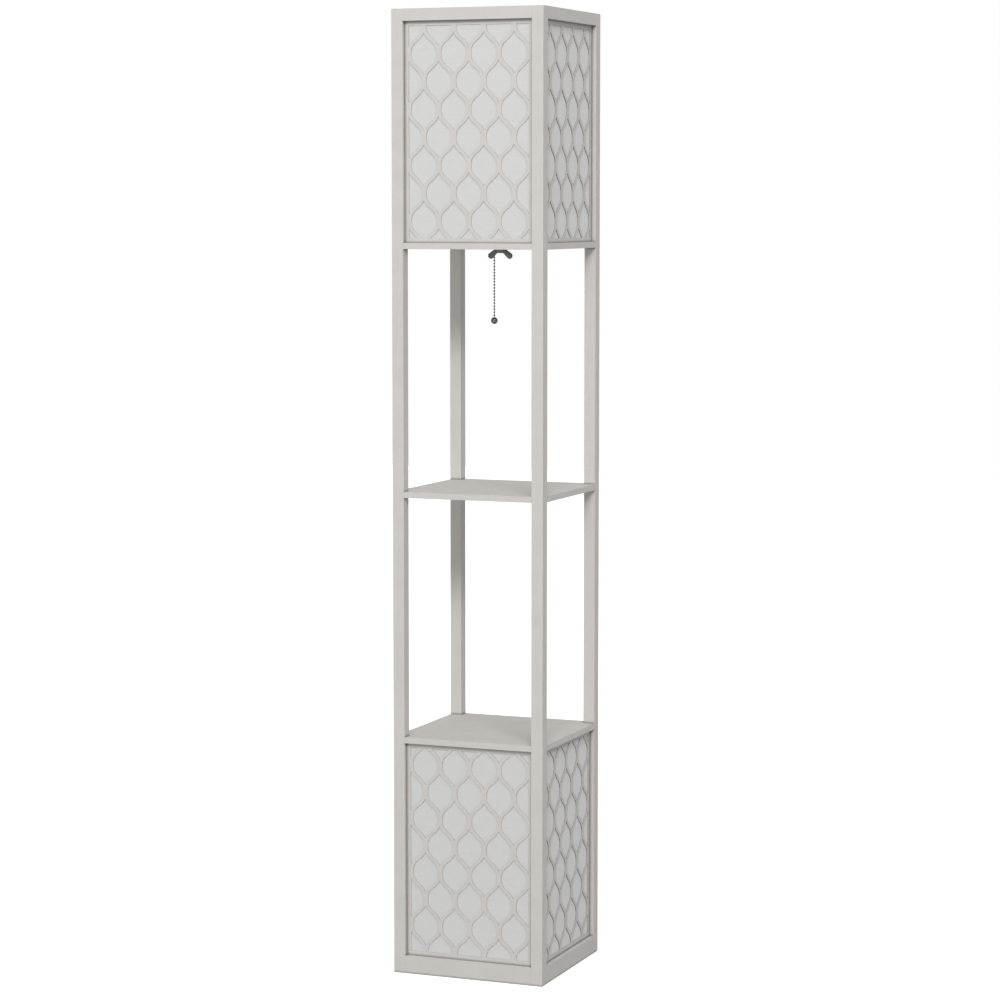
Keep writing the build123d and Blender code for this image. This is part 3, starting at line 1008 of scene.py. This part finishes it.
class SHELFLAMP_OT_stage(bpy.types.Operator):
    """Builds the pale floor, the soft studio light and the camera"""

    bl_idname = "shelf_lamp.stage"
    bl_label = "Stage"

    def execute(self, context):
        scene = context.scene
        scene.view_settings.view_transform = "Standard"
        self.add_floor(scene)
        self.add_world(scene)
        self.add_lamps(scene)
        self.add_camera(scene)
        return {"FINISHED"}

    def add_floor(self, scene):
        """A wide floor, white where it is seen except in the lamp's soft shadow."""
        half = FLOOR_HALF
        mesh = bpy.data.meshes.new("floor")
        corners = [(-half, -half, 0), (half, -half, 0), (half, half, 0), (-half, half, 0)]
        mesh.from_pydata(corners, [], [(0, 1, 2, 3)])
        floor = bpy.data.objects.new("floor", mesh)
        scene.collection.objects.link(floor)
        material = bpy.data.materials.new("floor")
        material.use_nodes = True
        tree = material.node_tree
        tree.nodes.clear()
        bounce = tree.nodes.new("ShaderNodeBsdfDiffuse")
        bounce.inputs["Color"].default_value = (*[FLOOR_BOUNCE] * 3, 1)
        shown = tree.nodes.new("ShaderNodeBsdfDiffuse")
        shown.inputs["Color"].default_value = (*[FLOOR_SHOWN] * 3, 1)
        lift = tree.nodes.new("ShaderNodeEmission")
        distance = tree.nodes.new("ShaderNodeVectorMath")
        distance.operation = "LENGTH"
        rise = tree.nodes.new("ShaderNodeMapRange")
        rise.inputs["From Min"].default_value = FLOOR_LIFT_REACH[0]
        rise.inputs["From Max"].default_value = FLOOR_LIFT_REACH[1]
        rise.inputs["To Min"].default_value = FLOOR_LIFT[0]
        rise.inputs["To Max"].default_value = FLOOR_LIFT[1]
        spot = tree.nodes.new("ShaderNodeTexCoord")
        tree.links.new(spot.outputs["Object"], distance.inputs[0])
        tree.links.new(distance.outputs["Value"], rise.inputs["Value"])
        tree.links.new(rise.outputs["Result"], lift.inputs["Strength"])
        sum_up = tree.nodes.new("ShaderNodeAddShader")
        choose = tree.nodes.new("ShaderNodeMixShader")
        output = tree.nodes.new("ShaderNodeOutputMaterial")
        tree.links.new(shown.outputs[0], sum_up.inputs[0])
        tree.links.new(lift.outputs[0], sum_up.inputs[1])
        tree.links.new(seen_directly(tree), choose.inputs[0])
        tree.links.new(bounce.outputs[0], choose.inputs[1])
        tree.links.new(sum_up.outputs[0], choose.inputs[2])
        tree.links.new(choose.outputs[0], output.inputs["Surface"])
        mesh.materials.append(material)

    def add_world(self, scene):
        """An even surround, seen as white and dimmer where it lights the lamp."""
        world = bpy.data.worlds.new("studio")
        world.use_nodes = True
        tree = world.node_tree
        tree.nodes.clear()
        fill = tree.nodes.new("ShaderNodeBackground")
        white = tree.nodes.new("ShaderNodeBackground")
        white.inputs["Strength"].default_value = SURROUND_SHOWN
        fill.inputs["Strength"].default_value = SURROUND_LIGHT
        for background in (fill, white):
            background.inputs["Color"].default_value = (1, 1, 1, 1)
        choose = tree.nodes.new("ShaderNodeMixShader")
        output = tree.nodes.new("ShaderNodeOutputWorld")
        tree.links.new(seen_directly(tree), choose.inputs[0])
        tree.links.new(fill.outputs[0], choose.inputs[1])
        tree.links.new(white.outputs[0], choose.inputs[2])
        tree.links.new(choose.outputs[0], output.inputs["Surface"])
        scene.world = world

    def add_lamps(self, scene):
        """A wide soft box high on the camera's side, and a weak low fill."""
        for name, place, aim, size, watts in LAMPS:
            light = bpy.data.lights.new(name, "AREA")
            light.shape = "RECTANGLE"
            light.size, light.size_y = size
            light.energy = watts
            lamp = bpy.data.objects.new(name, light)
            lamp.location = place
            ahead = Vector(aim) - lamp.location
            lamp.rotation_euler = ahead.to_track_quat("-Z", "Y").to_euler()
            scene.collection.objects.link(lamp)

    def add_camera(self, scene):
        """The photograph's viewpoint: well back, a little above the lamp board."""
        lens = bpy.data.cameras.new("camera")
        lens.sensor_width = SENSOR_WIDTH
        lens.lens = CAMERA_LENS
        lens.clip_end = CAMERA_REACH
        camera = bpy.data.objects.new("camera", lens)
        round_turn, yaw, pitch = map(math.radians, (CAMERA_ROUND, CAMERA_YAW, CAMERA_PITCH))
        camera.location = (
            CAMERA_DISTANCE * math.sin(round_turn),
            -CAMERA_DISTANCE * math.cos(round_turn),
            CAMERA_HEIGHT,
        )
        ahead = Vector(
            (-math.sin(yaw) * math.cos(pitch), math.cos(yaw) * math.cos(pitch), -math.sin(pitch))
        )
        camera.rotation_euler = ahead.to_track_quat("-Z", "Y").to_euler()
        scene.collection.objects.link(camera)
        scene.camera = camera


class SHELFLAMP_PT_sidebar(bpy.types.Panel):
    """Lists the lamp's settings and the steps that build it"""

    bl_idname = "SHELFLAMP_PT_sidebar"
    bl_label = "Shelf lamp"
    bl_space_type = "VIEW_3D"
    bl_region_type = "UI"
    bl_category = "Shelf lamp"

    def draw(self, context):
        for group in (context.scene.shelf_lamp_sizes, context.scene.shelf_lamp_colours):
            column = self.layout.column(align=True)
            for name in group.bl_rna.properties.keys():
                if name not in ("rna_type", "name"):
                    column.prop(group, name)
        steps = self.layout.column(align=True)
        for step in STEPS:
            steps.operator(step.bl_idname)


STEPS = (
    SHELFLAMP_OT_stage,
    SHELFLAMP_OT_posts,
    SHELFLAMP_OT_rails,
    SHELFLAMP_OT_boards,
    SHELFLAMP_OT_lattices,
    SHELFLAMP_OT_linings,
    SHELFLAMP_OT_wing_nut,
    SHELFLAMP_OT_lampholder,
    SHELFLAMP_OT_bulb,
    SHELFLAMP_OT_chain,
    SHELFLAMP_OT_bush,
)
CLASSES = (ShelfLampSizes, ShelfLampColours, *STEPS, SHELFLAMP_PT_sidebar)


def register():
    """Registers the classes and hangs the settings on the scene."""
    for cls in CLASSES:
        bpy.utils.register_class(cls)
    bpy.types.Scene.shelf_lamp_sizes = bpy.props.PointerProperty(type=ShelfLampSizes)
    bpy.types.Scene.shelf_lamp_colours = bpy.props.PointerProperty(type=ShelfLampColours)


def unregister():
    """Takes the settings and the classes away again."""
    del bpy.types.Scene.shelf_lamp_colours
    del bpy.types.Scene.shelf_lamp_sizes
    for cls in reversed(CLASSES):
        bpy.utils.unregister_class(cls)


def main():
    """Builds the whole lamp."""
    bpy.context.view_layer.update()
    register()
    for step in STEPS:
        group, action = step.bl_idname.split(".")
        getattr(getattr(bpy.ops, group), action)()
    bpy.context.view_layer.update()


if __name__ == "__main__":
    main()
